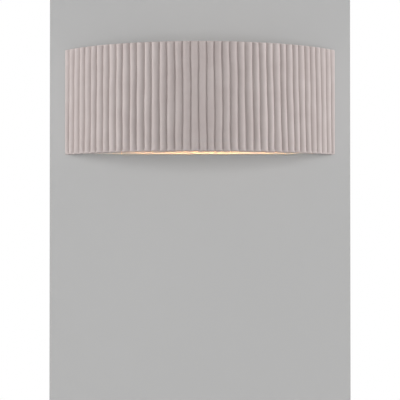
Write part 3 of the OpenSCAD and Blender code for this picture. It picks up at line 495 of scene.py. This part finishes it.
# millimetres, as in the solid; flare is each step's reach towards the wall and its growth in height, and
# facing the cosine above which a face counts as looking at the wall
lugStyle = {"bottom": 18, "thick": 10, "studX": 132.18, "studY": 19.5, "margin": 13, "corner": 4,
            "back": 10, "hole": 3.5, "round": 0.8, "beforeWall": 2.5,
            "cornerSteps": 6, "roundSteps": 2, "holeSides": 48, "facing": 0.98,
            "flare": ((1.6, 1.12), (1.1, 1.22), (0.9, 1.3)), "smoothAngle": 50}


def buildLug(style, arcs, side):
    # cast ledge inside one end of the shade; it flares where it meets the wall, as a cast fillet does
    def innerX(y):
        return math.sqrt(arcs["innerR"] ** 2 - (arcs["arcY"] + y) ** 2)

    free, front = style["studX"] - style["margin"], style["studY"] + style["margin"]
    back = style["back"]
    deselectAll()
    bpy.ops.mesh.primitive_plane_add(size=2)
    lug = bpy.context.object
    for v in lug.data.vertices:
        y = front if v.co.y < 0 else back
        v.co = Vector((free if v.co.x < 0 else innerX(y) - style["beforeWall"], -y, style["bottom"])) * mm
    editMode()
    bpy.ops.mesh.select_mode(type="VERT")
    bpy.ops.mesh.select_all(action="DESELECT")
    editMode(False)
    for v in lug.data.vertices:
        v.select = v.co.x < (free + 1) * mm    # the free end's two corners
    editMode()
    bpy.ops.mesh.bevel(offset=style["corner"] * mm, segments=style["cornerSteps"], affect="VERTICES")
    bpy.ops.mesh.select_all(action="SELECT")
    bpy.ops.mesh.extrude_region_move(TRANSFORM_OT_translate={"value": (0, 0, style["thick"] * mm)})
    bpy.ops.mesh.select_all(action="SELECT")
    bpy.ops.mesh.normals_make_consistent(inside=False)
    bpy.ops.mesh.select_mode(type="FACE")
    bpy.ops.mesh.select_all(action="DESELECT")
    editMode(False)
    slant = Vector((innerX(back) - innerX(front), front - back, 0))
    outwards = Vector((slant.y, -slant.x, 0)).normalized()
    for f in lug.data.polygons:
        f.select = f.normal.dot(outwards) > style["facing"]    # the face that looks at the shade's wall
    editMode()
    middle = (0, 0, (style["bottom"] + style["thick"] / 2) * mm)
    for reach, grow in style["flare"]:
        bpy.ops.mesh.extrude_region_move(TRANSFORM_OT_translate={"value": outwards * reach * mm})
        bpy.ops.transform.resize(value=(1, 1, grow), center_override=middle)
    editMode(False)
    lug.modifiers.new("round", "BEVEL").width = style["round"] * mm
    lug.modifiers["round"].segments = style["roundSteps"]
    bpy.ops.mesh.primitive_cylinder_add(
        vertices=style["holeSides"], radius=style["hole"] * mm, depth=3 * style["thick"] * mm,
        location=(style["studX"] * mm, -style["studY"] * mm, middle[2]))
    drill = bpy.context.object
    cutter = lug.modifiers.new("hole", "BOOLEAN")
    cutter.object, cutter.operation, cutter.solver = drill, "DIFFERENCE", "EXACT"
    applyModifiers(lug)
    bpy.data.objects.remove(drill)
    if side < 0:    # the left one is the right one's mirror image
        for v in lug.data.vertices:
            v.co.x = -v.co.x
        lug.data.flip_normals()
    deselectAll()
    lug.select_set(True)
    bpy.context.view_layer.objects.active = lug
    bpy.ops.object.shade_smooth_by_angle(angle=math.radians(style["smoothAngle"]))
    return lug


shade, arcs = buildShade(shadeStyle)
lugs = [buildLug(lugStyle, arcs, side) for side in (-1, 1)]
deselectAll()
for piece in (*lugs, shade):
    piece.select_set(True)
bpy.context.view_layer.objects.active = shade
bpy.ops.object.join()
shade.data.materials.clear()
shade.data.materials.append(bisque)
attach(shade, "shade")
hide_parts("ceramic_shade")
print("shade built:", len(shade.data.polygons), "faces")


# millimetres; steps are those of the path between two points, round and bareRound those of a quarter turn
wireStyle = {"radius": 1.1, "bare": 0.6, "bareLength": 9, "steps": 8, "round": 6, "bareRound": 3,
             "weld": 0.0001, "smoothAngle": 50}
blockFace = (-32, -15)    # x and y of the terminal block's left face on its barrels' line
nippleMouth, insertBack, tagMouth = (-104, -43, 0), (-74, -43, 0), (-47, -10.6, 50)


def routeFrom(anchor, steps):
    return [tuple(a + s for a, s in zip(anchor, step)) for step in steps]


routes = {
    "live_wire": routeFrom((*blockFace, 60), [(2, 0, 0), (-1, 0, 0), (-10, 1, 0), (-28, 1, 0), (-44, 1, -3),
                                              (-56, -1, -11)])
    + routeFrom(nippleMouth, [(8, 23, 38), (5, 15, 27), (2, 7, 16), (-3, 2, 8.5), (-6.5, 0, 4), (-5, 0, 1.8),
                              (0, 0, 1.3), (8, 0, 1.3)])
    + routeFrom(insertBack, [(-11, 0, 1.5), (-6, 0, 3.5), (-1, 0, 5.5), (3, 0, 5.5)]),
    "neutral_wire": routeFrom((*blockFace, 40), [(2, 0, 0), (-1, 0, 0), (-10, 1, 0), (-28, 1, -1),
                                                 (-44, 1, -6), (-58, -1, -15)])
    + routeFrom(nippleMouth, [(5, 22, 16), (-1, 14, 6), (-5, 6, -1), (-6, 2, -3), (-3, 0, -2), (3, 0, -1.3),
                              (9, 0, -1.3)])
    + routeFrom(insertBack, [(-11, 0, -1.5), (-6, 0, -3.5), (-1, 0, -5.5), (3, 0, -5.5)]),
    "earth_wire": routeFrom(tagMouth, [(-0.5, 0, 0), (2, -0.1, 0)])
    + routeFrom((*blockFace, 50), [(-8, 2.4, 0), (-4, 0.4, 0), (-1, 0, 0), (2, 0, 0)]),
}


def smoothPath(points, steps):
    # the same cubic through the points as the solid's
    ends = np.array([points[0], *points, points[-1]], float)
    path = []
    for a, b, c, d in zip(ends, ends[1:], ends[2:], ends[3:]):
        for u in np.arange(steps) / steps:
            path.append(0.5 * (2 * b + (c - a) * u + (2 * a - 5 * b + 4 * c - d) * u * u
                               + (3 * b - a - 3 * c + d) * u ** 3))
    return path + [ends[-1]]


def tube(points, radius, around):
    curve = bpy.data.curves.new("route", "CURVE")
    curve.dimensions = "3D"
    curve.bevel_depth, curve.bevel_resolution, curve.use_fill_caps = radius * mm, around, True
    spline = curve.splines.new("POLY")
    spline.points.add(len(points) - 1)
    for point, place in zip(spline.points, points):
        point.co = (*(float(v) * mm for v in place), 1)
    piece = bpy.data.objects.new("route", curve)
    scene.collection.objects.link(piece)
    deselectAll()
    piece.select_set(True)
    bpy.context.view_layer.objects.active = piece
    bpy.ops.object.convert(target="MESH")
    piece = bpy.context.object
    editMode()
    bpy.ops.mesh.select_all(action="SELECT")
    bpy.ops.mesh.remove_doubles(threshold=wireStyle["weld"] * mm)
    bpy.ops.mesh.normals_make_consistent(inside=False)
    editMode(False)
    bpy.ops.object.shade_smooth_by_angle(angle=math.radians(wireStyle["smoothAngle"]))
    return piece


for name, material, slotName, pole in (("live_wire", brownPvc, "brown_wire", 60),
                                       ("neutral_wire", bluePvc, "blue_wire", 40),
                                       ("earth_wire", earthPvc, "green_wire", 50)):
    jacket = tube(smoothPath(routes[name], wireStyle["steps"]), wireStyle["radius"], wireStyle["round"])
    jacket.data.materials.append(material)
    core = tube([(*blockFace, pole), (blockFace[0] + wireStyle["bareLength"], blockFace[1], pole)],
                wireStyle["bare"], wireStyle["bareRound"])
    core.data.materials.append(copper)
    deselectAll()
    core.select_set(True)
    jacket.select_set(True)
    bpy.context.view_layer.objects.active = jacket
    bpy.ops.object.join()
    jacket.name = name.replace("_wire", "_lead")
    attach(jacket, "fixture")
    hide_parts(name)
print("leads laid")


# a grey wall panel as wide as the photo's and a pale floor, in metres; the patches are in millimetres
stageStyle = {"wallHalfWidth": 0.2005, "wallTop": 0.62, "floorZ": -1.0, "wallY": 0.0007, "floorSize": 8,
              "wallColour": "b4b4b4", "wallPatchMm": 300, "floorColour": "e4e3e1", "floorPatchMm": 400,
              "darkest": 0.985, "toneFrom": 0.3, "toneTo": 0.7, "ambient": 0.22}


def oneSided(name, colour, patchMm):
    # a plain matt sheet that a camera behind it looks through
    light = fromHex(colour)
    dark = [c * stageStyle["darkest"] for c in light[:3]] + [1.0]
    material = bpy.data.materials.new(name)
    material.use_nodes = True
    tree = material.node_tree
    tree.nodes.remove(tree.nodes["Principled BSDF"])
    place = addNode(material, "TexCoord").outputs["Object"]
    soft = addNode(material, "TexNoise", {"Vector": place, "Scale": 1000 / patchMm, "Detail": 1})
    tone = addNode(material, "ValToRGB", {"Fac": soft.outputs["Fac"]},
                   stops=[(stageStyle["toneFrom"], dark), (stageStyle["toneTo"], light)])
    sheet = addNode(material, "BsdfDiffuse", {"Color": tone.outputs["Color"]})
    clear = addNode(material, "BsdfTransparent")
    ray = addNode(material, "LightPath")
    side = addNode(material, "NewGeometry")
    behind = addNode(material, "Math", {0: side.outputs["Backfacing"], 1: ray.outputs["Is Camera Ray"]},
                     operation="MULTIPLY")
    mix = addNode(material, "MixShader", {0: behind.outputs[0], 1: sheet.outputs[0], 2: clear.outputs[0]})
    tree.links.new(mix.outputs[0], tree.nodes["Material Output"].inputs["Surface"])
    return material


deselectAll()
bpy.ops.mesh.primitive_plane_add(size=2)
wall = bpy.context.object
wall.name = "wall_panel"
for v in wall.data.vertices:
    high = v.co.y > 0
    v.co = (stageStyle["wallHalfWidth"] * (1 if v.co.x > 0 else -1), stageStyle["wallY"],
            stageStyle["wallTop"] if high else stageStyle["floorZ"])
wall.data.materials.append(oneSided("paintedWall", stageStyle["wallColour"], stageStyle["wallPatchMm"]))
deselectAll()
bpy.ops.mesh.primitive_plane_add(size=stageStyle["floorSize"], location=(0, 0, stageStyle["floorZ"]))
floor = bpy.context.object
floor.name = "pale_floor"
floor.data.materials.append(oneSided("paleFloor", stageStyle["floorColour"], stageStyle["floorPatchMm"]))
bakePlace(floor)

# a white surround to the eye, which lights the pieces only faintly
world = bpy.data.worlds.new("studio")
scene.world = world
world.use_nodes = True
world.node_tree.nodes.clear()
ray = addNode(world, "LightPath")
seen = addNode(world, "Math", {0: ray.outputs["Is Camera Ray"], 1: ray.outputs["Is Glossy Ray"]},
               operation="MAXIMUM")
shown = addNode(world, "Math", {0: seen.outputs[0], 1: ray.outputs["Is Transmission Ray"]},
                operation="MAXIMUM")
dim = addNode(world, "Background", {"Color": (1, 1, 1, 1), "Strength": stageStyle["ambient"]})
white = addNode(world, "Background", {"Color": (1, 1, 1, 1), "Strength": 1.0})
both = addNode(world, "MixShader", {0: shown.outputs[0], 1: dim.outputs[0], 2: white.outputs[0]})
addNode(world, "OutputWorld", {"Surface": both.outputs[0]})
print("stage set")

# the meshes that a lamp can be told to reach, or to be shadowed by
pieces = bpy.data.collections.new("lightPieces")
innerPieces = bpy.data.collections.new("innerPieces")
stageSheets = bpy.data.collections.new("stageSheets")
floorSheet = bpy.data.collections.new("floorSheet")
floorSheet.objects.link(floor)
for item in scene.objects:
    if item in (wall, floor):
        stageSheets.objects.link(item)
    elif item.type == "MESH":
        pieces.objects.link(item)
        if item not in (shade, nodes["back_tray"]):
            innerPieces.objects.link(item)

# metres and watts; the boxes are flat ovals that look at the light's middle unless a target is named
sideTurn, sideReach = math.radians(78), 1.6
lightStyle = {
    "side": {"place": (sideReach * math.sin(sideTurn), -sideReach * math.cos(sideTurn), 0.05),
             "target": (0, -0.05, 0), "size": (1.0, 1.3), "power": 21.6},
    "back": {"place": (0.9, 1.4, 0.5), "size": (0.9, 0.9), "power": 16},
    "wall": {"place": (0, -5, 0.03), "target": (0, 0, -0.15), "size": (2.9, 2.9), "power": 195},
    "front": {"place": (0, -2, 0.8), "size": (5, 3), "power": 19},
    "near": {"place": (0, -0.52, 0.3), "target": (0, -0.05, 0), "size": (0.3, 0.3), "power": 0.32},
    "top": {"place": (0, -0.6, 1.5), "size": (1.2, 0.8), "power": 1},
    "inner": {"place": (0, -0.3, 1.5), "size": (0.9, 0.6), "power": 8},
    "floor": {"place": (0, -0.5, 9), "target": (0, 0, stageStyle["floorZ"]), "size": (5, 5), "power": 610},
    "bulb": {"place": (0.022, -0.043, 0), "radius": 0.031, "power": 0.15, "colour": "ffc07c"},
    "bounce": {"place": (0.008, -0.042, -0.052), "target": (0.008, 0, -0.066), "size": (0.24, 0.025),
               "power": 0.075, "colour": "ffb670"},
}


def directOnly(data):
    # nothing throws this lamp's light on, which needs its importance sampling off as well
    data.cycles.max_bounces = 0
    data.cycles.use_multiple_importance_sampling = False


def softBox(name, style, receivers, blockers=None, side=1):
    # a box lights its receivers only; side -1 puts it in the mirrored place
    data = bpy.data.lights.new(name, "AREA")
    data.shape, data.energy = "ELLIPSE", style["power"]
    data.size, data.size_y = style["size"]
    data.color = fromHex(style.get("colour", "ffffff"))[:3]
    box = bpy.data.objects.new(name, data)
    scene.collection.objects.link(box)
    place = Vector(style["place"])
    place.x *= side
    sight = Vector(style.get("target", (0, 0, 0))) - place
    box.location, box.rotation_euler = place, sight.to_track_quat("-Z", "Y").to_euler()
    box.visible_camera = False
    box.light_linking.receiver_collection = receivers
    if blockers:
        box.light_linking.blocker_collection = blockers
    return box


for side in (-1, 1):
    softBox("sideSoftBox", lightStyle["side"], pieces, side=side)
    back = softBox("backSoftBox", lightStyle["back"], pieces, pieces, side)
    directOnly(back.data)
softBox("wallSoftBox", lightStyle["wall"], stageSheets, pieces)
softBox("frontSoftBox", lightStyle["front"], pieces)
softBox("nearSoftBox", lightStyle["near"], pieces)
softBox("topSoftBox", lightStyle["top"], pieces)
softBox("innerSoftBox", lightStyle["inner"], innerPieces)
below = softBox("floorSoftBox", lightStyle["floor"], floorSheet, pieces)
directOnly(below.data)

# the warm light of the lamp; it reaches the light's own pieces
bulbStyle = lightStyle["bulb"]
glow = bpy.data.lights.new("warmLamp", "POINT")
glow.energy, glow.shadow_soft_size = bulbStyle["power"], bulbStyle["radius"]
glow.color = fromHex(bulbStyle["colour"])[:3]
directOnly(glow)
bulb = bpy.data.objects.new("warmLamp", glow)
scene.collection.objects.link(bulb)
bulb.location = bulbStyle["place"]
bulb.visible_camera = False
reached = bpy.data.collections.new("reachedByLamp")
for item in pieces.objects:
    if not item.name.startswith(("lamp_globe", "led_", "driver")):
        reached.objects.link(item)
for source in (bulb, nodes["lamp_globe"]):
    source.light_linking.receiver_collection = reached
bulb.light_linking.blocker_collection = reached

# what the ceramic throws back onto the tray
shell = bpy.data.collections.new("shell")
for item in (nodes["back_tray"], shade):
    shell.objects.link(item)
bounce = softBox("ceramicBounce", lightStyle["bounce"], reached, shell)
directOnly(bounce.data)
print("lights set")
